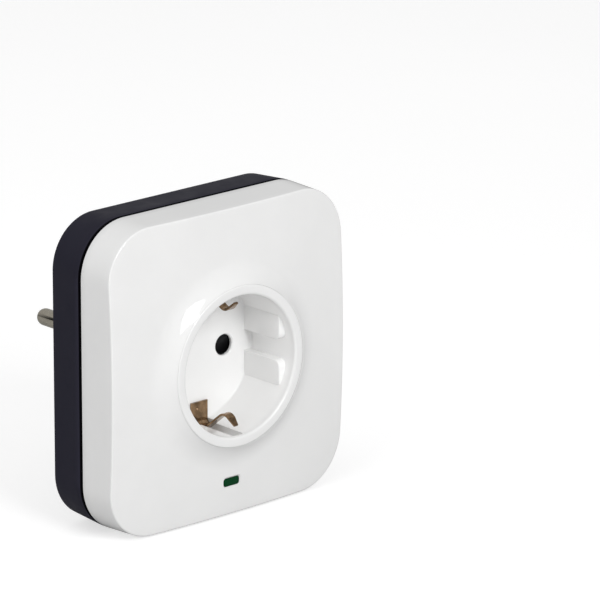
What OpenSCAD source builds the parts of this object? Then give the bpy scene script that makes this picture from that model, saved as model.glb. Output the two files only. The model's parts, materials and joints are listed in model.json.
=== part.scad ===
// Surge protected socket adapter: a wall plug behind, an earthed socket in
// front, and two protected line jacks on the right-hand side of the case.
// Origin: plug engagement face, midway between the plug pins.
// +Y runs along the plug pins into the wall, +X to the right, +Z up.

/* [Case] */
// Width of the case at the seam
case_w = 83.8; // [82:0.1:86]
// Height of the case at the seam
case_h = 86.4; // [84:0.1:90]
// Corner radius of the case outline
corner_r = 14.8; // [14:0.1:16]
// Depth of the white front cover, from the seam to the crown of its face
front_depth = 14.4; // [14:0.1:15]
// Depth of the dark rear cover, from the seam to its flat back
rear_depth = 12.3; // [12:0.1:13]
// Wall thickness of both covers
wall = 2.2; // [2:0.1:2.4]
// Width of the shadow gap between the covers
seam_gap = 0.9; // [0.6:0.1:1.2]
// Radius of the gently domed front face
dome_r = 441; // [400:1:600]
// Sideways distance of the case screws from the centre
screw_x = 33.3; // [33:0.1:33.5]
// Height of the case screws above and below the centre
screw_z = 34.5; // [34.3:0.1:34.8]

/* [Plug] */
// Radius of the plug pins
pin_r = 2.4; // [2.35:0.01:2.45]
// Distance between the centres of the two pins
pin_pitch = 19; // [18.8:0.1:19.2]
// Length of a pin beyond the engagement face
pin_length = 19; // [18:0.1:19.5]
// Width of the two grooves that run along each pin
pin_groove = 0.5; // [0.4:0.05:0.6]
// Radius of the round plug boss
boss_r = 18.4; // [18:0.1:18.7]
// Length of the plug boss
boss_length = 17.5; // [17:0.1:18]
// Height of the raised plinth that carries the plug boss
plinth_height = 6.5; // [6:0.1:7]
// Width of the plinth
plinth_w = 58; // [54:1:60]
// Height of the plinth
plinth_h = 60; // [56:1:62]
// Distance between the flats on the two sides of the boss
boss_flats = 32.8; // [32:0.1:33]
// Distance from the centre to the outer face of each plug earth strip
side_strip_out = 16.6; // [16.4:0.1:16.8]

/* [Socket] */
// Inner radius of the socket well
well_r = 19.6; // [19.4:0.1:19.8]
// Outer radius of the rim round the well
rim_r = 22.4; // [22:0.1:22.8]
// Height of the rim above the crown of the front face
rim_rise = 2.5; // [2:0.1:3]
// Depth of the well, rim to floor
well_depth = 17.5; // [17.3:0.1:17.8]
// Radius where the flare round the rim meets the front face
flare_r = 29.5; // [28:0.1:31]
// Radius of the two pin holes in the well floor
pin_hole_r = 2.95; // [2.8:0.05:3]
// Distance between the flat faces of the left and right guide blocks
guide_span = 33.5; // [33.2:0.1:33.8]
// Half-width of the slot in the middle of each guide block
guide_slot = 2.9; // [2.7:0.1:3.1]
// Half-height of a pair of guide blocks
guide_half = 9.9; // [9.5:0.1:10.1]
// Drop from the rim to the front end of the guide blocks
guide_drop = 3.4; // [3:0.1:4]

/* [Earth clips] */
// Thickness of the earth strip metal
strip_t = 0.6; // [0.5:0.05:0.7]
// Width of the earth plates on the well floor
plate_w = 5.9; // [5.6:0.1:6.4]
// Width of the springy earth tongues
tongue_w = 2.5; // [2.4:0.1:2.8]
// Distance from the centre to the hump of a tongue
hump_z = 14.15; // [14.1:0.05:14.3]
// Distance from the centre to the inner edge of the earth plates
plate_z = 13.9; // [13.8:0.1:14.2]

/* [Line jacks] */
// Height of one jack housing
jack_h = 15.1; // [15:0.05:15.2]
// Front-to-back depth of a jack housing
jack_d = 13.7; // [13.5:0.1:13.9]
// Length of a jack housing, into the case
jack_l = 18.6; // [17:0.1:18.8]
// Width of the plug opening in a jack
port_w = 11.9; // [11.7:0.1:12]
// Depth of the plug opening, contact side to latch side
port_d = 6.9; // [6.7:0.1:7]

/* [Lens] */
// Width of the status lens
lens_w = 5.4; // [5:0.1:5.6]
// Height of the status lens
lens_h = 2.2; // [2:0.1:2.4]
// Distance of the lens below the centre of the socket
lens_drop = 33.4; // [32:0.1:34]

/* [Hidden] */

$fn = 64;
eps = 0.01;          // small overrun of a cutting solid
big = 200;           // larger than the whole object

// Depth stations, all on the Y axis
y_rear = -(boss_length + plinth_height);
y_seam = y_rear - rear_depth;
y_crown = y_seam - front_depth;
y_rim = y_crown - rim_rise;
y_floor = y_rim + well_depth;
floor_t = 2;
y_floor_back = y_floor + floor_t;
well_wall = 2;
rim_t = 3.2;
lens_corner_r = 0.7;
y_lens = y_crown + lens_drop * lens_drop / (2 * dome_r) + 0.1;
y_pipe = y_lens + wall + 0.2;

// Main board, a ring round the socket
board_t = 1.6;
y_board = y_rear - wall - 1.5;       // back face of the board
y_parts = y_board - board_t;         // front face, where the components stand
board_hole_r = 21.9;

// Seam lip of the rear cover
lip_t = 1;
lip_inset = wall + 0.15;
y_lip = y_seam - 2;
y_post_split = y_seam - 2.3;         // where front and rear screw posts meet

// Shutter
shutter_w = 27;
shutter_h = 6.8;
shutter_t = 3.3;
shutter_travel = 6.5;
recess_t = 1;                        // depth of the recess it slides in
y_shutter = y_floor_back - recess_t + 0.3;
y_cover = y_shutter + shutter_t + 0.3;
cover_t = 1.4;
cover_r = 18.6;
spring_coil_r = 1.5;
spring_wire_r = 0.25;
spring_turns = 6;
y_spring = y_floor_back + 1.45;
spring_z0 = shutter_h / 2;
spring_z1 = 15.6;

// Contacts
tulip_r = 3.1;
tulip_bore = 2.5;
y_tulip = y_cover + cover_t + 0.4;
y_tulip_end = y_tulip + 17;
carrier_t = 14;
y_strap = y_cover + cover_t + 0.3;
y_carrier = y_strap + 2 * strip_t + 1;
end_wall = 2.2;
carrier_w = 28.2;
carrier_h = 28;
busbar_t = 0.5;
y_busbar = y_board + 0.1;
groove_tilt = 20;                    // turn of the grooves about the pin
groove_depth = 0.6;
neck_r = pin_r - 0.6;                // pin inside the end wall and behind it

// Plug earth contacts
side_strip_w = 5.6;
side_strip_t = 0.7;
side_strip_z = side_strip_out - side_strip_t;
sleeve_z = 10;
sleeve_r = 2.5;
sleeve_t = 0.6;
rivet_z = 13.9;
rivet_r = 0.9;

// Jacks
jack_face_x = case_w / 2 - 0.3;
jack_play = 0.15;
port_front = y_seam - 5.4;           // contact side of the plug opening
wire_pitch = 1.02;
wire_count = 8;
wire_t = 0.35;
wire_root_x = jack_face_x - 3.2;
wire_tip_x = jack_face_x - 12.2;

// ---------------------------------------------------------------- helpers

// Extrudes an outline drawn in X and Z from y0 to y1
module prism(y0, y1)
    translate([0, y1, 0]) rotate([90, 0, 0]) linear_extrude(y1 - y0) children();

// Extrudes an outline drawn in Y and Z across the X axis, centred
module across(width)
    translate([-width / 2, 0, 0]) rotate([90, 0, 90]) linear_extrude(width) children();

// Turns an outline of radius and Y about the Y axis
module turned()
    rotate([-90, 0, 0]) rotate_extrude() children();

// Round bar along Y
module bar(y0, y1, r)
    translate([0, y1, 0]) rotate([90, 0, 0]) cylinder(h = y1 - y0, r = r);

// Block between two corners
module block(low, high)
    translate(low) cube(high - low);

// Rectangle with round corners
module rounded(w, h, r) {
    square([w - 2 * r, h], center = true);
    square([w, h - 2 * r], center = true);
    for (sx = [-1, 1], sz = [-1, 1])
        translate([sx * (w / 2 - r), sz * (h / 2 - r)]) circle(r);
}

// Outline of the case, drawn smaller by the given inset
module outline(inset)
    rounded(case_w - 2 * inset, case_h - 2 * inset, corner_r - inset);

// Everything behind the domed face, set back by depth
module behind_dome(depth)
    translate([0, y_crown + dome_r, 0]) sphere(r = dome_r - depth, $fn = 128);

// Unit direction of the stretch of a bent strip that starts at point i
function heading(points, i) =
    let (k = min(max(i, 0), len(points) - 2), d = points[k + 1] - points[k]) d / norm(d);

// Step from point i to the mitred side of a bent strip of thickness t
function mitre(points, i, t) =
    let (d = heading(points, i - 1) + heading(points, i)) [-d[1], d[0]] * t / (d * d);

// Flat strip of thickness t that follows points in the drawing plane
module strip(points, t) {
    last = len(points) - 1;
    polygon(concat([for (i = [0 : last]) points[i] + mitre(points, i, t)],
        [for (i = [last : -1 : 0]) points[i] - mitre(points, i, t)]));
}

module at_pins()
    for (side = [-1, 1]) translate([side * pin_pitch / 2, 0, 0]) children();

module at_case_screws()
    for (sx = [-1, 1], sz = [-1, 1]) translate([sx * screw_x, 0, sz * screw_z]) children();

board_screw_places = [[-17, 36.8], [-17, -36.8], [24, 35], [20, -36.8]];
module at_board_screws()
    for (place = board_screw_places) translate([place[0], 0, place[1]]) children();

carrier_screw_x = 8.5;
carrier_screw_z = 10.5;
y_screw_seat = y_carrier + 7;        // where the heads of the carrier screws rest
y_screw_post = y_carrier + carrier_t + 0.05;
module at_carrier_screws()
    for (sx = [-1, 1]) translate([sx * carrier_screw_x, 0, -sx * carrier_screw_z]) children();

// ---------------------------------------------------------------- covers

case_screw_bore = 1.4;
post_r = 3.6;

module flare() {
    rise = rim_rise + 0.65;
    span = flare_r - rim_r - 0.1;
    curve = (span * span + rise * rise) / (2 * rise);
    base = y_crown + (flare_r * flare_r) / (2 * dome_r);
    turned() difference() {
        translate([rim_r + 0.1, base - rise]) square([span, rise + wall]);
        translate([flare_r, base - curve]) circle(r = curve, $fn = 128);
    }
}

// Solid behind the domed face, within the case outline drawn smaller by inset
module domed_block(inset, y_end) intersection() {
    prism(y_crown - 1, y_end) outline(inset);
    behind_dome(inset);
}

module front_cover() color("white") difference() {
    union() {
        difference() {
            domed_block(0, y_seam - seam_gap / 2);
            domed_block(wall, y_seam);
        }
        flare();
        intersection() {
            at_case_screws() bar(y_crown, y_post_split - 0.1, post_r);
            domed_block(wall / 2, y_seam);
        }
    }
    bar(y_rim - 1, y_seam, rim_r + 0.1);
    at_case_screws() bar(y_crown + 6, y_seam, case_screw_bore);
    jack_cutout();
    translate([0, 0, -lens_drop]) prism(y_crown - 1, y_seam)
        rounded(lens_w + 0.2, lens_h + 0.2, lens_corner_r + 0.1);
}

module jack_cutout()
    block([case_w / 2 - wall - 3, y_seam - jack_d / 2 - jack_play, -jack_h - jack_play],
        [case_w / 2 + 1, y_seam + jack_d / 2 + jack_play, jack_h + jack_play]);

module boss_outline() difference() {
    circle(boss_r, $fn = 128);
    for (side = [-1, 1], rib = [-1, 1])
        translate([side * (boss_flats / 2 + 5), rib * (guide_slot + guide_half + 0.3) / 2])
            square([10, guide_half + 0.3 - guide_slot + 0.8], center = true);
}

module boss_hollow(gap)
    intersection() {
        circle(boss_r - 2 - gap);
        square([carrier_w + 0.6 - 2 * gap, carrier_h + 0.6 - 2 * gap], center = true);
    }

module rear_cover() color([0.17, 0.17, 0.19]) difference() {
    union() {
        prism(y_seam + seam_gap / 2, y_rear) outline(0);
        prism(y_lip, y_rear) outline(lip_inset);
        prism(y_rear - eps, y_rear + plinth_height) rounded(plinth_w, plinth_h, 12);
        prism(y_rear, 0) boss_outline();
    }
    difference() {
        prism(y_lip - 1, y_rear - wall) outline(lip_inset + lip_t);
        at_case_screws() bar(y_post_split, y_rear, post_r + 0.1);
        at_board_screws() bar(y_board, y_rear, 2.6);
    }
    prism(y_rear - wall - 1, y_rear + plinth_height - wall)
        rounded(plinth_w - 2 * wall, plinth_h - 2 * wall, 12 - wall);
    difference() {
        prism(y_rear, -end_wall) boss_hollow(0);
        at_carrier_screws() bar(y_screw_post, 0, 2.4);
    }
    at_carrier_screws() bar(y_screw_post - 1, y_screw_post + 5, 0.95);
    at_case_screws() {
        bar(y_post_split - 1, y_rear + 1, 1.7);
        bar(y_rear - 4, y_rear + 1, 3.1);
    }
    at_board_screws() bar(y_board - 1, y_rear - 0.6, 1.15);
    at_pins() bar(-end_wall - 1, 1, pin_r + 0.06);
    translate([0, 0, sleeve_z]) bar(-end_wall - 1, 1, sleeve_r);
    jack_cutout();
    for (side = [-1, 1]) clip_side(side) strip_groove();
}

// Passage through the plinth and open groove in the boss for a plug earth strip
module strip_groove() {
    block([-side_strip_w / 2 - 0.2, y_rear, side_strip_z - 0.1],
        [side_strip_w / 2 + 0.2, -1.2, side_strip_out + 0.15]);
    block([-side_strip_w / 2 - 0.2, y_rear + plinth_height, side_strip_z - 0.1],
        [side_strip_w / 2 + 0.2, -1.2, boss_r + 1]);
}

// ---------------------------------------------------------------- socket

thick_w = 9;                         // wall made thicker behind the tongues
groove_w = tongue_w + 1.2;
groove_z = 21.5;                     // bottom of the groove a tongue swings into
y_groove = y_floor - 16.2;
y_root = y_floor - 3;                // where the tongues begin
leg_z = well_r + 0.85;               // middle of the legs of the earth bridge

module clip_side(side) mirror([0, 0, side > 0 ? 0 : 1]) children();

module socket_well() color([0.95, 0.95, 0.94]) difference() {
    union() {
        turned() difference() {
            union() {
                translate([0, y_floor]) square([well_r + well_wall, floor_t]);
                translate([well_r, y_rim]) square([well_wall, well_depth + floor_t]);
                translate([well_r, y_rim]) square([rim_r - well_r, rim_t]);
            }
            // chamfer on the inner edge of the rim
            translate([well_r, y_rim]) rotate(45) square(0.8, center = true);
        }
        guide_blocks();
        intersection() {
            bar(y_rim + rim_t, y_floor_back, rim_r);
            for (side = [-1, 1]) clip_side(side)
                block([-thick_w / 2, y_rim + 1, well_r + 0.4],
                    [thick_w / 2, y_floor_back + 1, rim_r + 1]);
        }
    }
    at_pins() bar(y_floor - 1, y_floor_back + 1, pin_hole_r);
    // recess behind the floor, where the shutter slides
    block([-shutter_w / 2 - 0.3, y_floor_back - recess_t, -shutter_h / 2 - 0.3],
        [shutter_w / 2 + 0.3, y_floor_back + 1, shutter_h / 2 + shutter_travel + 0.3]);
    for (side = [-1, 1]) clip_side(side) {
        // groove that the tongue swings into
        block([-groove_w / 2, y_groove, well_r - 0.4], [groove_w / 2, y_root, groove_z]);
        // passage for the leg of the earth bridge
        block([-plate_w / 2 - 0.25, y_root - 0.3, well_r - 0.4],
            [plate_w / 2 + 0.25, y_floor_back + 1, leg_z + 0.5]);
    }
}

module guide_blocks() intersection() {
    union() for (side = [-1, 1], half = [-1, 1])
        block([side > 0 ? guide_span / 2 : -well_r - 1, y_rim + guide_drop,
                half > 0 ? guide_slot : -guide_half],
            [side > 0 ? well_r + 1 : -guide_span / 2, y_floor + eps,
                half > 0 ? guide_half : -guide_slot]);
    bar(y_rim, y_floor + floor_t, well_r + 0.5);
}

module status_lens() color([0.05, 0.35, 0.15]) translate([0, 0, -lens_drop])
    prism(y_lens, y_pipe - 0.1) rounded(lens_w, lens_h, lens_corner_r);

module light_pipe() color([0.8, 0.9, 0.85]) translate([0, 0, -lens_drop])
    prism(y_pipe, y_parts - 2.7) rounded(3.6, 1.6, 0.4);

module status_led() color([0.7, 0.9, 0.7]) translate([0, 0, -lens_drop]) {
    bar(y_parts - 1.8, y_parts, 1.5);
    intersection() {
        translate([0, y_parts - 1.8, 0]) sphere(r = 0.8);
        bar(y_parts - 3, y_parts - 1.8, 1);
    }
}

// ---------------------------------------------------------------- shutter

module shutter() color([0.06, 0.06, 0.07]) difference() {
    across(shutter_w) polygon([
        [y_shutter, shutter_h / 2],
        [y_shutter, shutter_h / 4],
        [y_shutter + 1.7, -shutter_h / 2],
        [y_shutter + shutter_t, -shutter_h / 2],
        [y_shutter + shutter_t, shutter_h / 2]]);
    block([-4.2, y_shutter - 1, -shutter_h / 2 - 1],
        [4.2, y_shutter + shutter_t + 1, -shutter_h / 2 + 1.6]);
}

// Points of one ring of the spring wire, at the given turn angle
function coil_ring(angle, rise, sides) = [for (k = [0 : sides - 1])
    let (r = spring_coil_r + spring_wire_r * cos(360 * k / sides))
    [r * cos(angle), r * sin(angle), rise + spring_wire_r * sin(360 * k / sides)]];

module shutter_spring() color("silver") {
    sides = 6;
    steps = spring_turns * 12;
    low = spring_z0 + spring_wire_r + 0.05;
    high = spring_z1 - spring_wire_r - 0.05;
    points = [for (i = [0 : steps])
        each coil_ring(360 * spring_turns * i / steps, low + (high - low) * i / steps, sides)];
    walls = [for (i = [0 : steps - 1], k = [0 : sides - 1])
        [i * sides + k, (i + 1) * sides + k,
            (i + 1) * sides + (k + 1) % sides, i * sides + (k + 1) % sides]];
    translate([0, y_spring, 0]) scale([0.7, 0.7, 1])
        polyhedron(points = points, faces = concat(walls,
            [[for (k = [0 : sides - 1]) k], [for (k = [0 : sides - 1]) steps * sides + sides - 1 - k]]));
}

module shutter_cover() color([0.9, 0.9, 0.88]) difference() {
    union() {
        bar(y_cover, y_cover + cover_t, cover_r);
        difference() {
            bar(y_floor_back + 0.05, y_cover + eps, cover_r);
            bar(y_floor_back, y_cover, cover_r - 1.2);
        }
        block([-4, y_floor_back + 0.2, spring_z1], [4, y_cover + eps, spring_z1 + 1]);
    }
    at_pins() bar(y_cover - 1, y_cover + cover_t + 1, pin_hole_r + 0.2);
}

// ---------------------------------------------------------------- earth path

module earth_bridge() color([0.55, 0.45, 0.35]) difference() {
    union() {
        block([-plate_w / 2, y_strap, -leg_z], [plate_w / 2, y_strap + strip_t, leg_z]);
        for (side = [-1, 1]) clip_side(side) {
            block([-plate_w / 2, y_root, leg_z - strip_t / 2],
                [plate_w / 2, y_strap + strip_t, leg_z + strip_t / 2]);
            block([-plate_w / 2, y_floor - 0.1 - strip_t, plate_z],
                [plate_w / 2, y_floor - 0.1, leg_z]);
        }
        // tab that is soldered to the back of the board
        block([-1.2, y_strap, leg_z - 1.8], [1.2, y_busbar + busbar_t, leg_z - 0.4]);
        block([-1.2, y_busbar, leg_z - 1.8], [1.2, y_busbar + busbar_t, board_hole_r + 3]);
    }
    for (side = [-1, 1]) clip_side(side)
        translate([0, 0, rivet_z]) bar(y_strap - 1, y_strap + 1, rivet_r + 0.02);
}

// Springy tongue, drawn for the upper side
module earth_tongue() across(tongue_w)
    strip([[y_root - 0.1, leg_z], [y_root - 0.7, leg_z - 0.03], [y_root - 1.4, leg_z - 0.45],
        [y_floor - 11, hump_z + 0.72], [y_floor - 11.4, hump_z + 0.44],
        [y_floor - 11.84, hump_z + strip_t / 2 + 0.02], [y_floor - 12.28, hump_z + 0.46],
        [y_floor - 12.68, hump_z + 0.78], [y_floor - 15.4, 17.2]], strip_t);

module earth_clip_top() color([0.55, 0.45, 0.35]) clip_side(1) earth_tongue();

module earth_clip_bottom() color([0.55, 0.45, 0.35]) clip_side(-1) earth_tongue();

module side_strip() difference() {
    union() {
        block([-side_strip_w / 2, y_strap + strip_t + 0.02, side_strip_z],
            [side_strip_w / 2, -1.6, side_strip_out]);
        block([-side_strip_w / 2, y_strap + strip_t + 0.02, rivet_z - 1.8],
            [side_strip_w / 2, y_strap + 2 * strip_t, side_strip_z + eps]);
    }
    translate([0, 0, rivet_z]) bar(y_strap, y_strap + 3, rivet_r + 0.02);
}

module plug_earth_strip_top() color("silver") clip_side(1) side_strip();

module plug_earth_strip_bottom() color("silver") clip_side(-1) side_strip();

module earth_sleeve() color("gold") translate([0, 0, sleeve_z]) difference() {
    union() {
        bar(-14.5, -end_wall - 0.05, sleeve_r + sleeve_t);
        bar(-15.1, -14.4, sleeve_r + sleeve_t);
    }
    bar(-14.5, 1, sleeve_r);
}

module earth_rivets() color("silver") for (side = [-1, 1]) translate([0, 0, side * rivet_z]) {
    bar(y_strap - 0.2, y_strap + 2 * strip_t + 0.25, rivet_r);
    bar(y_strap - 0.25, y_strap - 0.02, rivet_r * 1.5);
    bar(y_strap + 2 * strip_t + 0.02, y_strap + 2 * strip_t + 0.35, rivet_r * 1.5);
}

// ---------------------------------------------------------------- live parts

module tulip() difference() {
    bar(y_tulip, y_tulip_end, tulip_r);
    bar(y_tulip - 1, y_tulip_end - 1.4, tulip_bore);
    for (turn = [0, 90])
        rotate([0, turn, 0]) block([-0.4, y_tulip - 1, -tulip_r - 1],
            [0.4, y_tulip + 11, tulip_r + 1]);
}

module pin() difference() {
    union() {
        bar(0, pin_length - pin_r, pin_r);
        bar(y_tulip_end + 0.02, eps, neck_r);
        intersection() {
            translate([0, pin_length - pin_r, 0]) sphere(r = pin_r);
            bar(pin_length - pin_r - eps, pin_length, pin_r);
        }
        bar(-end_wall - 2, -end_wall - 0.05, 3.6);
    }
    for (turn = [0, 180])
        rotate([0, groove_tilt + turn, 0])
            block([pin_r - groove_depth, 1.5, -pin_groove / 2],
                [pin_r + 1, pin_length + 1, pin_groove / 2]);
}

module live_contact() color("gold") translate([pin_pitch / 2, 0, 0]) tulip();

module neutral_contact() color("gold") translate([-pin_pitch / 2, 0, 0]) tulip();

module live_pin() color("silver") translate([pin_pitch / 2, 0, 0]) pin();

module neutral_pin() color("silver") translate([-pin_pitch / 2, 0, 0]) pin();

module contact_carrier() color([0.12, 0.12, 0.13]) difference() {
    prism(y_carrier, y_carrier + carrier_t) boss_hollow(0.3);
    at_pins() bar(y_carrier - 1, 1, tulip_r + 0.15);
    translate([0, 0, sleeve_z]) bar(-16, 1, sleeve_r + sleeve_t + 0.15);
    at_carrier_screws() {
        bar(y_carrier - 1, y_screw_seat, 2.1);
        bar(y_carrier - 1, y_carrier + carrier_t + 1, 1.1);
    }
}

module carrier_screws() color("silver") at_carrier_screws() {
    bar(y_screw_seat - 1.4, y_screw_seat - 0.02, 1.9);
    bar(y_screw_seat - 0.1, y_screw_post + 4.5, 0.9);
}

module busbar() {
    difference() {
        union() {
            translate([pin_pitch / 2, 0, 0]) bar(y_busbar, y_busbar + busbar_t, tulip_r + 1.2);
            block([pin_pitch / 2, y_busbar, -1.5],
                [board_hole_r + 3.2, y_busbar + busbar_t, 1.5]);
        }
        translate([pin_pitch / 2, 0, 0]) bar(y_busbar - 1, y_busbar + 1, tulip_r + 0.02);
    }
}

module live_busbar() color("gold") busbar();

module neutral_busbar() color("gold") mirror([1, 0, 0]) busbar();

// ---------------------------------------------------------------- surge board

module surge_board() color([0.1, 0.4, 0.2]) difference() {
    prism(y_parts, y_board) outline(wall + 1.9);
    bar(y_parts - 1, y_board + 1, board_hole_r);
    at_case_screws() bar(y_parts - 1, y_board + 1, post_r + 0.7);
    at_board_screws() bar(y_parts - 1, y_board + 1, 1.3);
}

varistor_r = 7.4;
varistor_t = 4.8;
varistor_x = -30.6;
module varistor(z) translate([varistor_x, y_parts - varistor_r - 1.6, z]) {
    cylinder(h = varistor_t, r = varistor_r, center = true);
    for (side = [-1, 1])
        translate([side * 3.75, 0, side * 1]) block([-0.4, varistor_r - 2.4, -0.4],
            [0.4, varistor_r + 1.6, 0.4]);
}

module varistor_live_neutral() color([0.1, 0.25, 0.65]) varistor(11.5);

module varistor_live_earth() color([0.1, 0.25, 0.65]) varistor(0);

module varistor_neutral_earth() color([0.1, 0.25, 0.65]) varistor(-11.5);

// Round component that lies along X on two bent leads
module axial(centre, r, length, lead) translate([centre[0], y_parts - r - 0.4, centre[1]]) {
    rotate([0, 90, 0]) cylinder(h = length, r = r, center = true);
    for (side = [-1, 1])
        translate([side * length / 2, 0, 0]) {
            block([side > 0 ? -0.1 : -lead, -0.35, -0.35], [side > 0 ? lead : 0.1, 0.35, 0.35]);
            block([side > 0 ? lead - 0.7 : -lead, -0.35, -0.35],
                [side > 0 ? lead : -lead + 0.7, r + 0.4, 0.35]);
        }
}

module thermal_fuse() color([0.85, 0.8, 0.7]) axial([-27.5, 20.5], 2, 9, 1.6);

module line_fuse() color([0.9, 0.88, 0.8]) axial([-10, 30.5], 2.6, 19, 1.6);

module suppression_capacitor() color([0.8, 0.65, 0.1])
    block([6.5, y_parts - 14.5, 25.8], [18.5, y_parts, 33]);

module mains_discharge_tube() color([0.85, 0.85, 0.83]) axial([-26, -21.5], 3.6, 5.6, 2);

module line_discharge_tubes() color([0.85, 0.85, 0.83]) for (side = [-1, 1])
    axial([30.5, side * 19.5], 2.5, 7.4, 1.6);

module line_diodes() color([0.1, 0.1, 0.1]) for (side = [-1, 1], column = [0, 1])
    block([25 + column * 6, y_parts - 2.2, side * 25 - 1.8],
        [29.4 + column * 6, y_parts, side * 25 + 1.8]);

module dropper_resistors() color([0.75, 0.65, 0.5]) for (side = [-1, 1])
    axial([side * 8.5, -30.5], 1.2, 6.2, 1.3);

module board_screws() color("silver") at_board_screws() {
    difference() {
        bar(y_parts - 1.6, y_parts - 0.02, 2.3);
        block([-1.5, y_parts - 2, -0.3], [1.5, y_parts - 0.9, 0.3]);
    }
    bar(y_parts - 0.5, y_rear - 0.8, 1.1);
}

// ---------------------------------------------------------------- jacks

// Jack housing about its own centre height, latch towards the back
module jack_housing() difference() {
    block([jack_face_x - jack_l, y_seam - jack_d / 2, -jack_h / 2 + 0.05],
        [jack_face_x, y_seam + jack_d / 2, jack_h / 2 - 0.05]);
    block([jack_face_x - 14.2, port_front, -port_w / 2],
        [jack_face_x + 1, port_front + port_d, port_w / 2]);
    block([jack_face_x - 14.2, port_front, -3.1],
        [jack_face_x + 1, port_front + port_d + 2, 3.1]);
    block([jack_face_x - 14.2, port_front, -1.9],
        [jack_face_x + 1, port_front + port_d + 3.5, 1.9]);
    // groove that holds the contact wires
    block([jack_face_x - 14.2, port_front - 1, -wire_pitch * wire_count / 2 - 0.3],
        [wire_root_x + 0.8, port_front + 1, wire_pitch * wire_count / 2 + 0.3]);
}

// Contact wires, rooted near the mouth and sloping in towards the back
module jack_wires() for (i = [0 : wire_count - 1])
    translate([0, 0, (i - (wire_count - 1) / 2) * wire_pitch - wire_t / 2])
        linear_extrude(wire_t)
            strip([[wire_root_x + 0.2, port_front - 0.6], [wire_root_x - 1, port_front - 0.5],
                [wire_tip_x, port_front + 2]], wire_t);

module jack_in() color([0.05, 0.05, 0.06]) translate([0, 0, jack_h / 2]) jack_housing();

module jack_out() color([0.05, 0.05, 0.06]) translate([0, 0, -jack_h / 2]) jack_housing();

module jack_in_contacts() color("gold") translate([0, 0, jack_h / 2]) jack_wires();

module jack_out_contacts() color("gold") translate([0, 0, -jack_h / 2]) jack_wires();

// ---------------------------------------------------------------- case screws

module case_screws() color("silver") at_case_screws() difference() {
    union() {
        bar(y_rear - 4, y_rear - 1.8, 2.7);
        bar(y_crown + 7, y_rear - 3.9, case_screw_bore - 0.05);
    }
    for (turn = [0, 90])
        rotate([0, turn, 0]) block([-1.6, y_rear - 3, -0.35], [1.6, y_rear, 0.35]);
}

front_cover();
rear_cover();
socket_well();
status_lens();
light_pipe();
status_led();
shutter();
shutter_spring();
shutter_cover();
earth_bridge();
earth_clip_top();
earth_clip_bottom();
live_contact();
neutral_contact();
live_pin();
neutral_pin();
contact_carrier();
plug_earth_strip_top();
plug_earth_strip_bottom();
earth_sleeve();
earth_rivets();
live_busbar();
neutral_busbar();
surge_board();
varistor_live_neutral();
varistor_live_earth();
varistor_neutral_earth();
thermal_fuse();
line_fuse();
suppression_capacitor();
mains_discharge_tube();
line_discharge_tubes();
line_diodes();
dropper_resistors();
jack_in();
jack_out();
jack_in_contacts();
jack_out_contacts();
case_screws();
board_screws();
carrier_screws();
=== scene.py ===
import json
import math

import bmesh
import bpy
from mathutils import Matrix, Vector


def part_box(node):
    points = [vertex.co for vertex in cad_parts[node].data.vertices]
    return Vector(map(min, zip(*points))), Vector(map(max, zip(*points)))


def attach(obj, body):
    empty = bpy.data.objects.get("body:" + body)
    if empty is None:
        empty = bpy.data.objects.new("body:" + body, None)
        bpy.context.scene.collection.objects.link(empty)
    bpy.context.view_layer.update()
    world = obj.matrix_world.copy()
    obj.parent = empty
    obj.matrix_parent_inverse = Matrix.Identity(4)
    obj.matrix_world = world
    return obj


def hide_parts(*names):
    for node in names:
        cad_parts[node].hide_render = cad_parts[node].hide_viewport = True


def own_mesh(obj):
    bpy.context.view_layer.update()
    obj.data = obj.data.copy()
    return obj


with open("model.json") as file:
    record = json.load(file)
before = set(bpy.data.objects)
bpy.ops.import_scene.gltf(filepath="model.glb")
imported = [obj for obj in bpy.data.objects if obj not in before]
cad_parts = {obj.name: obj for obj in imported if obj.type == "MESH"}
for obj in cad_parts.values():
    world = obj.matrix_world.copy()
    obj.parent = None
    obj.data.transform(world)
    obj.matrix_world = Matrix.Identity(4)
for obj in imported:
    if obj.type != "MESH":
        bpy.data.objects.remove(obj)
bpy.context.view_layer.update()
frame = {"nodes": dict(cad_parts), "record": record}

# Lengths below are written in millimetres and turned into metres by MM.
MM = 0.001

# ------------------------------------------------------------------ places
# The case. Its outer size and the depths of its rim, front edge and lip come from the packed
# model. SEAM_GAP is a little wider than the gap in CAD, so that it reads as the photo's dark line.
front_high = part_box("front_cover")[1]
jack_low, jack_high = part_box("jack_out")
HALF_W = front_high.x
HALF_H = front_high.z
CORNER_R = 14.8 * MM
WALL = 2.2 * MM
Y_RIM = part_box("socket_well")[0].y
Y_CROWN = Y_RIM + 2.5 * MM
Y_FRONT_EDGE = front_high.y
SEAM_GAP = 1.1 * MM
Y_REAR_EDGE = Y_FRONT_EDGE + SEAM_GAP
Y_SEAM = Y_FRONT_EDGE + 0.45 * MM
Y_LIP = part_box("rear_cover")[0].y
Y_BACK = -24 * MM
Y_PLINTH = -17.5 * MM
DOME_R = 441 * MM
FRONT_EDGE_R = 0.5 * MM
FRONT_DRAFT = 0.4 * MM
REAR_EDGE_R = 0.6 * MM
REAR_DRAFT = 0.8 * MM
SEAM_EDGE_R = 0.18 * MM
SCREW_X = 33.3 * MM
SCREW_Z = 34.5 * MM

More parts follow.
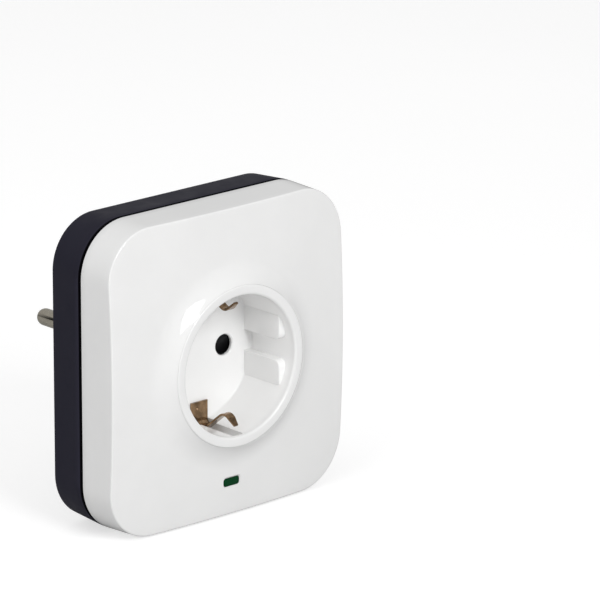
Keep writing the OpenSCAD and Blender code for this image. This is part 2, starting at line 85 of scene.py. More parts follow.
# Socket
WELL_R = 19.6 * MM
WELL_OUTER_R = 22.3 * MM
RIM_R = 22.4 * MM
FLARE_R = 29.5 * MM
FLARE_RISE = 2.75 * MM
RIM_GAP = 0.025 * MM
Y_FLOOR = Y_RIM + 17.5 * MM
Y_FLOOR_BACK = Y_FLOOR + 2 * MM
RECESS_DEPTH = 1 * MM
RECESS_X = 13.8 * MM
RECESS_LOW_Z = -3.7 * MM
RECESS_HIGH_Z = 10.2 * MM
PIN_X = 9.5 * MM
PIN_HOLE_R = 2.95 * MM
GUIDE_X = 16.75 * MM
GUIDE_SLOT = 2.9 * MM
GUIDE_HALF = 9.9 * MM
Y_GUIDE = Y_RIM + 3.4 * MM

# Earth strips
STRIP_T = 0.6 * MM
PLATE_W = 5.9 * MM
PLATE_Z = 13.9 * MM
LEG_Z = 20.45 * MM
Y_ROOT = Y_FLOOR - 3 * MM
Y_STRAP = Y_FLOOR_BACK + 4.9 * MM
TONGUE_W = 2.5 * MM
Y_HUMP = Y_FLOOR - 11.84 * MM
HUMP_Z = 13.95 * MM
Y_TIP = Y_FLOOR - 15.4 * MM
TIP_Z = 17.2 * MM
GROOVE_W = 3.7 * MM
GROOVE_Z = 21.5 * MM
Y_GROOVE = Y_FLOOR - 16.2 * MM

# Plug. PLINTH_W and PLINTH_H are half sizes.
PLINTH_W = 29 * MM
PLINTH_H = 30 * MM
PLINTH_R = 12 * MM
BOSS_R = 18.4 * MM
BOSS_FLAT_X = 16.4 * MM
EARTH_HOLE_Z = 10 * MM
STRIP_GROOVE_Z = 15.8 * MM
PIN_R = 2.4 * MM
PIN_LENGTH = 19 * MM

# Lens
LENS_Z = -33.4 * MM
LENS_W = 5.4 * MM
LENS_H = 2.2 * MM
LENS_R = 0.7 * MM

# Jacks
JACK_X = jack_high.x
JACK_H = 15.1 * MM
PORT_Y = Y_SEAM - 5.4 * MM
PORT_W = 11.9 * MM
PORT_D = 6.9 * MM
PORT_DEPTH = 14.2 * MM
CONTACTS = 8
CONTACT_PITCH = 1.02 * MM

# Edges sharper than this stay sharp when a piece is shaded
SMOOTH_ANGLE = math.radians(32)

# Pointiness is 0.5 on a flat face, more on an outer edge and less in a corner.
EDGE_POINTINESS = (0.52, 0.6)
CORNER_POINTINESS = (0.44, 0.498)


# ------------------------------------------------------------------ materials
def shader(name):
    """A new material, functions that add a node and link to its shader, and that shader."""
    material = bpy.data.materials.new(name)
    material.use_nodes = True
    tree = material.node_tree
    principled = tree.nodes["Principled BSDF"]

    def add(kind, inputs=None, **settings):
        node = tree.nodes.new(kind)
        for key, value in settings.items():
            setattr(node, key, value)
        for key, value in (inputs or {}).items():
            if isinstance(value, bpy.types.NodeSocket):
                tree.links.new(value, node.inputs[key])
            else:
                node.inputs[key].default_value = value
        return node

    def link(socket, name_in):
        tree.links.new(socket, principled.inputs[name_in])

    return material, add, link, principled


def coordinates(add, stretch=(1, 1, 1)):
    """Object coordinates in metres, stretched along each axis."""
    place = add("ShaderNodeTexCoord").outputs["Object"]
    return add("ShaderNodeMapping", {"Vector": place, "Scale": stretch}).outputs[0]


def noise(add, where, scale, detail=3.0, roughness=0.55):
    inputs = {"Vector": where, "Scale": scale, "Detail": detail, "Roughness": roughness}
    return add("ShaderNodeTexNoise", inputs).outputs["Fac"]


def spread(add, value, low, high, start=0.3, end=0.7):
    """Maps a value between start and end to the range low to high."""
    inputs = {"Value": value, "From Min": start, "From Max": end, "To Min": low, "To Max": high}
    return add("ShaderNodeMapRange", inputs).outputs[0]


def tinted(add, value, dark, light):
    """A colour between dark and light."""
    ramp = add("ShaderNodeValToRGB", {"Fac": value})
    ramp.color_ramp.elements[0].position = 0.3
    ramp.color_ramp.elements[1].position = 0.7
    ramp.color_ramp.elements[0].color = (*dark, 1)
    ramp.color_ramp.elements[1].color = (*light, 1)
    return ramp.outputs[0]


def scaled(colour, factor):
    return tuple(min(1.0, c * factor) for c in colour)


def mixed(add, amount, body, colour):
    """The colour of body with that amount of a plain colour over it."""
    return add("ShaderNodeMix", {0: amount, 6: body, 7: (*colour, 1)}, data_type="RGBA").outputs[2]


def bumped(add, height, strength, depth):
    """Normals of a relief that is depth millimetres high."""
    inputs = {"Height": height, "Strength": strength, "Distance": depth * MM}
    return add("ShaderNodeBump", inputs).outputs[0]


def plastic(name, colour, rough, grain=900, depth=0.004, relief=0.25, edge_wear_and_highlight=0.0, specular=0.5,
            fade=None):
    """Moulded plastic: faint mottling, spark-eroded grain, and outer edges painted paler, partly as
    wear and partly as a painted highlight.

    grain is the noise scale of the grain and depth its height in millimetres.
    fade is (y0, y1, share): the colour has only that share up to depth y0, and is whole from y1.
    """
    material, add, link, principled = shader(name)
    where = coordinates(add)
    cloud = noise(add, where, 55, 4)
    fine = noise(add, where, grain, 2)
    body = tinted(add, cloud, scaled(colour, 0.98), scaled(colour, 1.012))
    # outer edges are painted paler: partly wear, partly a painted highlight along the edge
    if edge_wear_and_highlight:
        edge = add("ShaderNodeNewGeometry").outputs["Pointiness"]
        amount = spread(add, edge, 0.0, edge_wear_and_highlight, *EDGE_POINTINESS)
        body = mixed(add, amount, body, scaled(colour, 2.2))
    if fade:
        depth_y = add("ShaderNodeSeparateXYZ", {0: where}).outputs["Y"]
        y0, y1, share = fade
        part = spread(add, depth_y, share, 1.0, y0, y1)
        body = add("ShaderNodeVectorMath", {0: body, "Scale": part}, operation="SCALE").outputs[0]
    link(body, "Base Color")
    link(spread(add, noise(add, where, 140, 5), rough * 0.85, rough * 1.15), "Roughness")
    grainy = add("ShaderNodeMath", {0: fine, 1: cloud}, operation="ADD").outputs[0]
    link(bumped(add, grainy, relief, depth), "Normal")
    principled.inputs["IOR"].default_value = 1.5
    principled.inputs["Specular IOR Level"].default_value = specular
    return material


def metal(name, colour, rough, stretch=(1, 1, 1), tarnish=0.75, depth=0.006, corner_shade=0.0):
    """Plated or stamped metal: fine drawing lines, darker patches of tarnish, and painted shade in
    corners and grooves.
    """
    material, add, link, principled = shader(name)
    lines = noise(add, coordinates(add, stretch), 1500, 4, 0.6)
    patches = noise(add, coordinates(add), 420, 4, 0.6)
    body = tinted(add, patches, scaled(colour, tarnish), colour)
    # corners and grooves are painted nearly black, as painted shade
    if corner_shade:
        edge = add("ShaderNodeNewGeometry").outputs["Pointiness"]
        amount = spread(add, edge, corner_shade, 0.0, *CORNER_POINTINESS)
        body = mixed(add, amount, body, scaled(colour, 0.06))
    link(body, "Base Color")
    both = add("ShaderNodeMath", {0: lines, 1: patches}, operation="MULTIPLY").outputs[0]
    link(spread(add, both, rough * 0.7, rough * 1.5, 0.15, 0.4), "Roughness")
    link(bumped(add, lines, 0.35, depth), "Normal")
    principled.inputs["Metallic"].default_value = 1.0
    return material


def clear(name, colour, rough, weight):
    """Tinted see-through plastic with faint flow marks."""
    material, add, link, principled = shader(name)
    where = coordinates(add, (1, 1, 4))
    flow = noise(add, where, 300, 3)
    link(tinted(add, flow, scaled(colour, 0.8), colour), "Base Color")
    link(spread(add, noise(add, where, 800, 3), rough * 0.6, rough * 1.4), "Roughness")
    link(bumped(add, flow, 0.2, 0.01), "Normal")
    principled.inputs["Transmission Weight"].default_value = weight
    principled.inputs["IOR"].default_value = 1.49
    return material


def circuit_board():
    """Green solder resist over copper tracks."""
    material, add, link, _ = shader("circuit_board")
    where = coordinates(add)
    inputs = {"Vector": where, "Scale": 160.0, "Mortar Size": 0.03}
    tracks = add("ShaderNodeTexBrick", inputs).outputs["Fac"]
    patches = noise(add, where, 500)
    shade = add("ShaderNodeMath", {0: tracks, 1: patches}, operation="MULTIPLY").outputs[0]
    link(tinted(add, shade, (0.012, 0.11, 0.04), (0.05, 0.26, 0.1)), "Base Color")
    link(spread(add, noise(add, where, 700), 0.3, 0.45), "Roughness")
    link(bumped(add, tracks, 0.4, 0.03), "Normal")
    return material


WHITE = plastic("white_gloss", (0.88, 0.88, 0.876), rough=0.055, grain=1400, depth=0.0015,
                relief=0.1)
# The well is painted a paler white than the cover, as painted light in its recess; towards the rim its
# fade brings it down to about the cover's white.
WELL_WHITE_PAINTED_LIGHT = plastic("white_well_painted_light", (0.962, 0.962, 0.958), rough=0.2, grain=1200, depth=0.003,
                     relief=0.15, fade=(Y_RIM + 0.6 * MM, Y_RIM + 2.5 * MM, 0.92))
INNER_WHITE = plastic("white_inner", (0.8, 0.8, 0.77), rough=0.45)
# The fade paints the front edge of the rear cover nearly black, as painted shade in the seam, so that
# the seam reads as a gap. Its paler outer edges are partly wear and partly a painted highlight.
DARK = plastic("dark_shell", (0.0193, 0.0186, 0.0303), rough=0.5, grain=2600, depth=0.012,
               relief=0.4, edge_wear_and_highlight=0.3, specular=0.08,
               fade=(Y_REAR_EDGE + 0.02 * MM, Y_REAR_EDGE + 0.07 * MM, 0.1))
# The jack housings' paler outer edges are partly wear and partly a painted highlight.
BLACK = plastic("black_plastic", (0.006, 0.006, 0.0065), rough=0.4, grain=1800, depth=0.01,
                relief=0.35, edge_wear_and_highlight=0.15, specular=0.15)
PRINT = plastic("grey_print", (0.33, 0.33, 0.335), rough=0.5, grain=2500, relief=0.4)
# The nickel's corners and the pins' grooves are painted dark, as painted shade.
NICKEL = metal("nickel", (0.56, 0.52, 0.435), rough=0.26, stretch=(1, 0.06, 1), tarnish=0.8,
               depth=0.003, corner_shade=1.0)
BRONZE = metal("bronze", (0.4, 0.26, 0.15), rough=0.15, stretch=(1, 0.15, 0.15), tarnish=0.3)
BRASS = metal("brass", (0.72, 0.55, 0.26), rough=0.32, stretch=(1, 0.2, 1))
GOLD = metal("gold_contact", (0.83, 0.62, 0.25), rough=0.22, stretch=(0.2, 1, 1), tarnish=0.85)
STEEL = metal("steel", (0.55, 0.55, 0.54), rough=0.35, stretch=(1, 1, 0.3))
GREEN = plastic("green_lens", (0.0005, 0.042, 0.011), rough=0.25, relief=0.3, specular=0.1)
CLEAR = clear("clear_plastic", (0.85, 0.95, 0.9), rough=0.08, weight=0.9)
BOARD = circuit_board()
BLUE = plastic("blue_epoxy", (0.03, 0.1, 0.4), rough=0.25, grain=300, depth=0.05, relief=0.4)
YELLOW = plastic("yellow_case", (0.62, 0.42, 0.05), rough=0.35)
CERAMIC = plastic("fuse_ceramic", (0.7, 0.65, 0.55), rough=0.6, grain=1500, depth=0.02, relief=0.6)

SLOT_MATERIAL = {
    "white_gloss": WHITE, "dark_shell": DARK, "black_plastic": BLACK, "white_inner": INNER_WHITE,
    "nickel": NICKEL, "bronze": BRONZE, "brass": BRASS, "gold_contact": GOLD, "steel": STEEL,
    "green_lens": GREEN, "clear_plastic": CLEAR, "circuit_board": BOARD, "blue_epoxy": BLUE,
    "yellow_case": YELLOW, "fuse_ceramic": CERAMIC,
}
for part in frame["record"]["subparts"]:
    mesh = frame["nodes"][part["node"]].data
    mesh.materials.clear()
    mesh.materials.append(SLOT_MATERIAL[part["material_slot"]])


# ------------------------------------------------------------------ mesh helpers
def to_object(name, bm):
    mesh = bpy.data.meshes.new(name)
    bmesh.ops.recalc_face_normals(bm, faces=bm.faces)
    bm.to_mesh(mesh)
    bm.free()
    made = bpy.data.objects.new(name, mesh)
    bpy.context.scene.collection.objects.link(made)
    return made


def apply_modifiers(piece):
    """Puts the result of all modifiers into the piece's own mesh."""
    graph = bpy.context.evaluated_depsgraph_get()
    mesh = bpy.data.meshes.new_from_object(piece.evaluated_get(graph))
    piece.modifiers.clear()
    piece.data = mesh


def cut(piece, cutters, operation="DIFFERENCE"):
    """Applies exact booleans, drawn large so that nothing merges, and removes the cutters."""
    large = Matrix.Scale(1 / MM, 4)
    piece.data.transform(large)
    for cutter in cutters:
        cutter.data.transform(large)
        step = piece.modifiers.new("cut", "BOOLEAN")
        step.object = cutter
        step.operation = operation
        step.solver = "EXACT"
        apply_modifiers(piece)
        bpy.data.objects.remove(cutter)
    piece.data.transform(large.inverted())


def bevel(piece, width, segments, angle):
    """Rounds every edge sharper than angle, in degrees."""
    step = piece.modifiers.new("bevel", "BEVEL")
    step.width = width
    step.segments = segments
    step.limit_method = "ANGLE"
    step.angle_limit = math.radians(angle)
    step.use_clamp_overlap = True
    apply_modifiers(piece)


def finished(piece, material, body="case", stands_for=()):
    """Shades and paints a piece, ties it to its body, and hides the nodes that it stands for."""
    for face in piece.data.polygons:
        face.use_smooth = True
    piece.data.set_sharp_from_angle(angle=SMOOTH_ANGLE)
    piece.data.materials.clear()
    piece.data.materials.append(material)
    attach(piece, body)
    if stands_for:
        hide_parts(*stands_for)
    return piece


def lofted(name, rings, loop=False):
    """Skins rings of equal length. With loop the last joins the first, else each end is capped."""
    bm = bmesh.new()
    made = [[bm.verts.new(p) for p in ring] for ring in rings]
    pairs = list(zip(made, made[1:])) + ([(made[-1], made[0])] if loop else [])
    for a, b in pairs:
        for i in range(len(a)):
            j = (i + 1) % len(a)
            bm.faces.new((a[i], a[j], b[j], b[i]))
    if not loop:
        for ring in (made[0], made[-1]):
            centre = bm.verts.new(sum((v.co for v in ring), Vector()) / len(ring))
            for i in range(len(ring)):
                bm.faces.new((ring[i], ring[(i + 1) % len(ring)], centre))
    return to_object(name, bm)


def turned(name, profile, steps, centre=(0, 0)):
    """A body of revolution about Y. profile holds (radius, y)."""
    x, z = centre
    angles = [2 * math.pi * (k + 0.5) / steps for k in range(steps)]
    rings = [[Vector((x + radius * math.cos(a), y, z + radius * math.sin(a))) for a in angles]
             for radius, y in profile]
    return lofted(name, rings)


def arc(centre, radius, start, end, steps):
    """Points of an arc, angles in degrees."""
    angles = [math.radians(start + (end - start) * k / steps) for k in range(steps + 1)]
    return [(centre[0] + radius * math.cos(a), centre[1] + radius * math.sin(a)) for a in angles]


def quarter(steps, first=0):
    """Angles of a quarter turn in equal steps, from step number first."""
    return [math.radians(90 * k / steps) for k in range(first, steps + 1)]


def box_mesh(name, low, high):
    bm = bmesh.new()
    bmesh.ops.create_cube(bm, size=1)
    size = Vector(high) - Vector(low)
    middle = (Vector(high) + Vector(low)) / 2
    for v in bm.verts:
        v.co = Vector(c * s for c, s in zip(v.co, size)) + middle
    return to_object(name, bm)


def rounded_points(half_w, half_h, radius, side_steps=1, arc_steps=6):
    """Points and outward normals of a rectangle with round corners, in X and Z."""
    found = []
    corners = [(1, 1, 0), (-1, 1, 90), (-1, -1, 180), (1, -1, 270)]
    for k, (sx, sz, start) in enumerate(corners):
        middle = Vector((sx * (half_w - radius), sz * (half_h - radius)))
        for step in range(arc_steps + 1):
            a = math.radians(start + 90 * step / arc_steps)
            normal = Vector((math.cos(a), math.sin(a)))
            found.append((middle + normal * radius, normal))
        after = corners[(k + 1) % 4]
        a = math.radians(start + 90)
        normal = Vector((math.cos(a), math.sin(a)))
        here = found[-1][0]
        there = Vector((after[0] * (half_w - radius), after[1] * (half_h - radius)))
        there += normal * radius
        for step in range(1, side_steps):
            found.append((here.lerp(there, step / side_steps), normal))
    return found


def slab(name, half_w, half_h, radius, y0, y1, centre, flare=0.0):
    """A straight block with round corners, along Y. flare widens it at its y0 end."""
    rings = []
    for y, extra in ((y0, flare), (y1, 0.0)):
        points = rounded_points(half_w + extra, half_h + extra, radius + extra)
        rings.append([Vector((centre[0] + p.x, y, centre[1] + p.y)) for p, _ in points])
    return lofted(name, rings)


# ------------------------------------------------------------------ covers
# Points of the case outline along each side and round each corner
SIDE_STEPS, ARC_STEPS = 36, 20
OUTLINE = rounded_points(HALF_W, HALF_H, CORNER_R, SIDE_STEPS, ARC_STEPS)


def dome(x, z):
    """Depth of the domed front face."""
    return Y_CROWN + DOME_R - math.sqrt(DOME_R ** 2 - x * x - z * z)


def outline_ring(inset, y):
    """Case outline, drawn smaller by inset. y is a number or one value per point."""
    heights = y if isinstance(y, list) else [y] * len(OUTLINE)
    return [Vector((p.x - inset * n.x, h, p.y - inset * n.y))
            for (p, n), h in zip(OUTLINE, heights)]


def circle_ring(radius, y, like):
    """A circle at depth y whose points have the same bearings as the ring like."""
    points = []
    for v in like:
        bearing = Vector((v.x, v.z)).normalized() * radius
        points.append(Vector((bearing.x, y, bearing.y)))
    return points


def between(ring_a, ring_b, share, height=None):
    """A ring part of the way from one ring to the other. height(x, z) sets its depth."""
    points = [a.lerp(b, share) for a, b in zip(ring_a, ring_b)]
    if height:
        points = [Vector((p.x, height(p.x, p.z), p.z)) for p in points]
    return points


def flared(radius):
    """Depth of the front face where it sweeps forward to the rim."""
    span = FLARE_R - RIM_R - RIM_GAP
    curve = (span ** 2 + FLARE_RISE ** 2) / (2 * FLARE_RISE)
    away = max(0.0, FLARE_R - radius)
    return dome(radius, 0) - (curve - math.sqrt(curve ** 2 - away ** 2))


def make_front_cover():
    """One closed skin: hole, flare, domed face, round edge, side, lip and inside."""
    hole_r = RIM_R + RIM_GAP
    tilt = 6.0
    start_inset = FRONT_DRAFT + FRONT_EDGE_R * (1 - math.sin(math.radians(tilt)))
    edge = [Vector((v.x, dome(v.x, v.z), v.z)) for v in outline_ring(start_inset, 0.0)]
    y_edge = [v.y for v in edge]

    rings = [circle_ring(hole_r, dome(hole_r, 0) + WALL, edge)]
    # the hole's edge is slightly rounded
    for out, back in ((0.0, 0.06 * MM), (0.02 * MM, 0.015 * MM)):
        rings.append(circle_ring(hole_r + out, flared(hole_r + out) + back, edge))
    flare_steps, crowding = 16, 1.4
    start = hole_r + 0.07 * MM
    for k in range(1, flare_steps + 1):
        radius = start + (FLARE_R - start) * (k / flare_steps) ** crowding
        rings.append(circle_ring(radius, flared(radius), edge))
    inner = rings[-1]
    face_steps = 12
    for k in range(1, face_steps + 1):
        rings.append(between(inner, edge, k / face_steps, dome))
    edge_steps = 7
    for k in range(1, edge_steps + 1):
        a = math.radians(tilt + (90 - tilt) * k / edge_steps)
        a0 = math.radians(tilt)
        inset = start_inset - FRONT_EDGE_R * (math.sin(a) - math.sin(a0))
        drop = FRONT_EDGE_R * (math.cos(a0) - math.cos(a))
        rings.append(outline_ring(inset, [y + drop for y in y_edge]))
    y_side = [v.y for v in rings[-1]]
    y_end = Y_FRONT_EDGE - SEAM_EDGE_R
    side_steps = 5
    for k in range(1, side_steps + 1):
        share = k / side_steps
        rings.append(outline_ring(FRONT_DRAFT * (1 - share),
                                  [y + (y_end - y) * share for y in y_side]))
    for a in quarter(3, 1):
        rings.append(outline_ring(SEAM_EDGE_R * (1 - math.cos(a)),
                                  Y_FRONT_EDGE - SEAM_EDGE_R * (1 - math.sin(a))))
    rings.append(outline_ring(WALL, Y_FRONT_EDGE))
    inside = [Vector((v.x, dome(v.x, v.z) + WALL, v.z)) for v in outline_ring(WALL, 0.0)]
    rings.append(inside)
    rings.append(between(rings[0], inside, 0.5, lambda x, z: dome(x, z) + WALL))
    cover = lofted("front_shell", rings, loop=True)

    # the lens sits in a hole with a dished rim
    lens_y = dome(0, LENS_Z)
    half_w, half_h = LENS_W / 2 + 0.08 * MM, LENS_H / 2 + 0.08 * MM
    dish_front, dish_back, dish_flare = 0.4 * MM, 0.35 * MM, 0.75 * MM
    cut(cover, [
        slab("lens_hole", half_w, half_h, LENS_R, lens_y - 1 * MM, lens_y + 5 * MM, (0, LENS_Z)),
        slab("lens_rim", half_w, half_h, LENS_R, lens_y - dish_front, lens_y + dish_back,
             (0, LENS_Z), dish_flare),
        jack_cutter(),
    ])
    finished(cover, WHITE, stands_for=["front_cover"])


def jack_cutter():
    """The opening for the jacks in the right-hand side of both covers."""
    play = 0.15 * MM
    return box_mesh("jack_cut", (HALF_W - WALL - 3 * MM, jack_low.y - play, -JACK_H - play),
                    (HALF_W + 1 * MM, jack_high.y + play, JACK_H + play))


def make_rear_cover():
    """One skin with closed ends: inside, lip, seam edge, side, back, plinth and boss."""
    hub_r = 6 * MM
    y_inner = Y_BACK - WALL
    lip_out, lip_in, lip_chamfer = WALL + 0.15 * MM, WALL + 1.15 * MM, 0.15 * MM
    flat = outline_ring(lip_in, y_inner)
    rings = [circle_ring(hub_r, y_inner, flat), flat]
    rings.append(outline_ring(lip_in, Y_LIP))
    rings.append(outline_ring(lip_out + lip_chamfer, Y_LIP))
    rings.append(outline_ring(lip_out, Y_LIP + lip_chamfer))
    rings.append(outline_ring(lip_out, Y_REAR_EDGE))
    for a in quarter(3):
        rings.append(outline_ring(SEAM_EDGE_R * (1 - math.sin(a)),
                                  Y_REAR_EDGE + SEAM_EDGE_R * (1 - math.cos(a))))
    y_start, y_end = Y_REAR_EDGE + SEAM_EDGE_R, Y_BACK - REAR_EDGE_R
    side_steps = 5
    for k in range(1, side_steps + 1):
        share = k / side_steps
        rings.append(outline_ring(REAR_DRAFT * share, y_start + (y_end - y_start) * share))
    for a in quarter(7, 1):
        rings.append(outline_ring(REAR_DRAFT + REAR_EDGE_R * (1 - math.cos(a)),
                                  y_end + REAR_EDGE_R * math.sin(a)))

    plinth = rounded_points(PLINTH_W, PLINTH_H, PLINTH_R, SIDE_STEPS, ARC_STEPS)

    def plinth_ring(inset, y):
        return [Vector((p.x - inset * n.x, y, p.y - inset * n.y)) for p, n in plinth]

    foot_r, top_r, taper = 1.2 * MM, 1.6 * MM, 0.5 * MM
    face_steps = 4
    outer, foot = rings[-1], plinth_ring(-foot_r, Y_BACK)
    for k in range(1, face_steps):
        rings.append(between(outer, foot, k / face_steps))
    for a in quarter(5):
        rings.append(plinth_ring(-foot_r * (1 - math.sin(a)), Y_BACK + foot_r * (1 - math.cos(a))))
    rings.append(plinth_ring(taper, Y_PLINTH - top_r))
    for a in quarter(6, 1):
        rings.append(plinth_ring(taper + top_r * (1 - math.cos(a)),
                                 Y_PLINTH - top_r * (1 - math.sin(a))))

    boss_foot, boss_top = 0.8 * MM, 0.7 * MM
    shoulder = rings[-1]
    base = circle_ring(BOSS_R + boss_foot, Y_PLINTH, shoulder)
    for k in range(1, face_steps):
        rings.append(between(shoulder, base, k / face_steps))
    for a in quarter(4):
        rings.append(circle_ring(BOSS_R + boss_foot * (1 - math.sin(a)),
                                 Y_PLINTH + boss_foot * (1 - math.cos(a)), shoulder))
    for a in quarter(5):
        rings.append(circle_ring(BOSS_R - boss_top * (1 - math.cos(a)),
                                 -boss_top * (1 - math.sin(a)), shoulder))
    rings.append(circle_ring(hub_r, 0.0, shoulder))
    cover = lofted("rear_shell", rings)
    cut(cover, rear_cutters())
    finished(cover, DARK, stands_for=["rear_cover"])


def rear_cutters():
    """Everything that is cut out of the rear cover."""
    steps = 48
    past = 1 * MM
    hole_r, earth_rim_r = 2.5 * MM, 2.95 * MM
    screw_r, screw_rim_r = 3.1 * MM, 3.5 * MM
    chamfer = 0.35 * MM
    flat_t, flat_play, flat_corner = 2.5 * MM, 1.1 * MM, 0.5 * MM
    flat_reach = (GUIDE_HALF - GUIDE_SLOT + flat_play) / 2
    groove_half_x, groove_half_z, groove_corner = 3 * MM, 2.2 * MM, 0.3 * MM
    made = [jack_cutter()]
    for side in (-1, 1):
        for half in (-1, 1):
            middle = half * (GUIDE_SLOT + GUIDE_HALF) / 2
            made.append(slab("flat", flat_t, flat_reach, flat_corner,
                             Y_PLINTH + 0.05 * MM, 2 * MM,
                             (side * (BOSS_FLAT_X + flat_t), middle)))
        made.append(slab("strip_groove", groove_half_x, groove_half_z, groove_corner,
                         Y_PLINTH - 0.6 * MM, -1.1 * MM,
                         (0, side * (STRIP_GROOVE_Z + groove_half_z))))
        made.append(turned("pin_hole", [(hole_r, -3 * MM), (hole_r, past)], steps,
                           (side * PIN_X, 0)))
    made.append(turned("earth_hole", [(hole_r, -16 * MM), (hole_r, -chamfer),
                                      (earth_rim_r, 0.1 * MM), (earth_rim_r, past)],
                       steps, (0, EARTH_HOLE_Z)))
    screw_profile = [(screw_r, Y_BACK - 5 * MM), (screw_r, Y_BACK - chamfer),
                     (screw_rim_r, Y_BACK + 0.05 * MM), (screw_rim_r, Y_BACK + past)]
    for sx in (-1, 1):
        for sz in (-1, 1):
            made.append(turned("screw_hole", screw_profile, steps, (sx * SCREW_X, sz * SCREW_Z)))
    return made


# ------------------------------------------------------------------ socket
def guide_block(side, half):
    """One guide block: flat chord face, round corner at the front of its slot side."""
    slot_corner, outer_corner = 2 * MM, 0.8 * MM
    into_wall = 0.9 * MM
    back = Y_FLOOR + 0.5 * MM
    outline = [(back, GUIDE_SLOT)]
    outline += arc((Y_GUIDE + slot_corner, GUIDE_SLOT + slot_corner), slot_corner, 270, 180, 10)
    outline += arc((Y_GUIDE + outer_corner, GUIDE_HALF - outer_corner), outer_corner, 180, 90, 4)
    outline += [(back, GUIDE_HALF)]
    middle = Vector((sum(p[0] for p in outline), sum(p[1] for p in outline))) / len(outline)
    # the face's edges are rounded: each level is drawn smaller towards the outline's middle
    soft, pull_share = 0.3 * MM, 1.2
    levels = [(None, 0.0)]
    for a in quarter(4):
        levels.append((GUIDE_X + soft * (1 - math.sin(a)), soft * (1 - math.cos(a))))
    rings = []
    for x, inset in levels:
        ring = []
        for y, z in outline:
            pull = (middle - Vector((y, z))).normalized() * inset * pull_share
            if y >= back:
                pull.x = 0.0
            across = math.sqrt((WELL_R + into_wall) ** 2 - z * z) if x is None else x
            ring.append(Vector((side * across, y + pull.x, half * (z + pull.y))))
        rings.append(ring)
    return lofted("guide", rings)


def make_socket_well():
    hub_r, draft = 3 * MM, 0.15 * MM
    floor_r, inner_edge_r, outer_edge_r = 0.6 * MM, 0.7 * MM, 0.4 * MM
    profile = [(hub_r, Y_FLOOR)]
    profile += arc((WELL_R - floor_r - draft, Y_FLOOR - floor_r), floor_r, 90, 0, 5)
    profile += [(WELL_R - 0.1 * MM, Y_RIM + 10 * MM), (WELL_R, Y_RIM + 1 * MM)]
    profile += arc((WELL_R + inner_edge_r, Y_RIM + inner_edge_r), inner_edge_r, 180, 270, 6)
    profile += arc((RIM_R - outer_edge_r, Y_RIM + outer_edge_r), outer_edge_r, 270, 360, 5)
    profile += [(RIM_R, Y_RIM + 3.2 * MM), (WELL_OUTER_R, Y_RIM + 3.4 * MM),
                (WELL_OUTER_R, Y_FLOOR_BACK), (hub_r, Y_FLOOR_BACK)]
    well = turned("socket_cup", profile, 192)
    cut(well, [guide_block(side, half) for side in (-1, 1) for half in (-1, 1)], "UNION")
    cut(well, well_cutters())
    finished(well, WELL_WHITE_PAINTED_LIGHT, stands_for=["socket_well"])


def well_cutters():
    """Pin holes, grooves and passages of the earth strips, and the shutter's recess."""
    behind = Y_FLOOR_BACK + 1 * MM
    hole_rim_r = PIN_HOLE_R + 0.35 * MM
    hole_profile = [(hole_rim_r, Y_FLOOR - 1 * MM), (hole_rim_r, Y_FLOOR - 0.02 * MM),
                    (PIN_HOLE_R, Y_FLOOR + 0.3 * MM), (PIN_HOLE_R, behind)]
    passage_half = PLATE_W / 2 + 0.25 * MM
    made = []
    for side in (-1, 1):
        made.append(turned("pin_hole", hole_profile, 64, (side * PIN_X, 0)))
        low, high = sorted((side * (WELL_R - 0.37 * MM), side * GROOVE_Z))
        made.append(box_mesh("groove", (-GROOVE_W / 2, Y_GROOVE, low),
                             (GROOVE_W / 2, Y_ROOT, high)))
        low, high = sorted((side * (WELL_R - 0.43 * MM), side * (LEG_Z + 0.5 * MM)))
        made.append(box_mesh("passage", (-passage_half, Y_ROOT - 0.3 * MM, low),
                             (passage_half, behind, high)))
    made.append(box_mesh("shutter_recess", (-RECESS_X, Y_FLOOR_BACK - RECESS_DEPTH, RECESS_LOW_Z),
                         (RECESS_X, behind, RECESS_HIGH_Z)))
    return made


# ------------------------------------------------------------------ bent strips
def rounded_path(points, radius, steps=6):
    """Points of a flat path whose corners are turned into arcs."""
    path = [Vector(points[0])]
    for before, here, after in zip(points, points[1:], points[2:]):
        a, p, b = Vector(before), Vector(here), Vector(after)
        to_a, to_b = (a - p).normalized(), (b - p).normalized()
        half_turn = to_a.angle(to_b) / 2
        back = min(radius / math.tan(half_turn), (a - p).length * 0.49, (b - p).length * 0.49)
        bow = back * math.tan(half_turn)
        centre = p + (to_a + to_b).normalized() * (back / math.cos(half_turn))
        start, end = p + to_a * back - centre, p + to_b * back - centre
        turn = start.angle_signed(end)
        for k in range(steps + 1):
            spin = Matrix.Rotation(-turn * k / steps, 2)
            path.append(centre + (spin @ start).normalized() * bow)
    path.append(Vector(points[-1]))
    return path


def strip_section(soft):
    """Corners of a strip's section: (x sign, thickness sign, inset in x, inset in thickness)."""
    section = []
    for sx, sn in ((1, 1), (-1, 1), (-1, -1), (1, -1)):
        first, second = (1, 0) if sx * sn > 0 else (0, 1)
        section += [(sx, sn, soft if k == first else 0.0, soft if k == second else 0.0)
                    for k in (0, 1)]
    return section


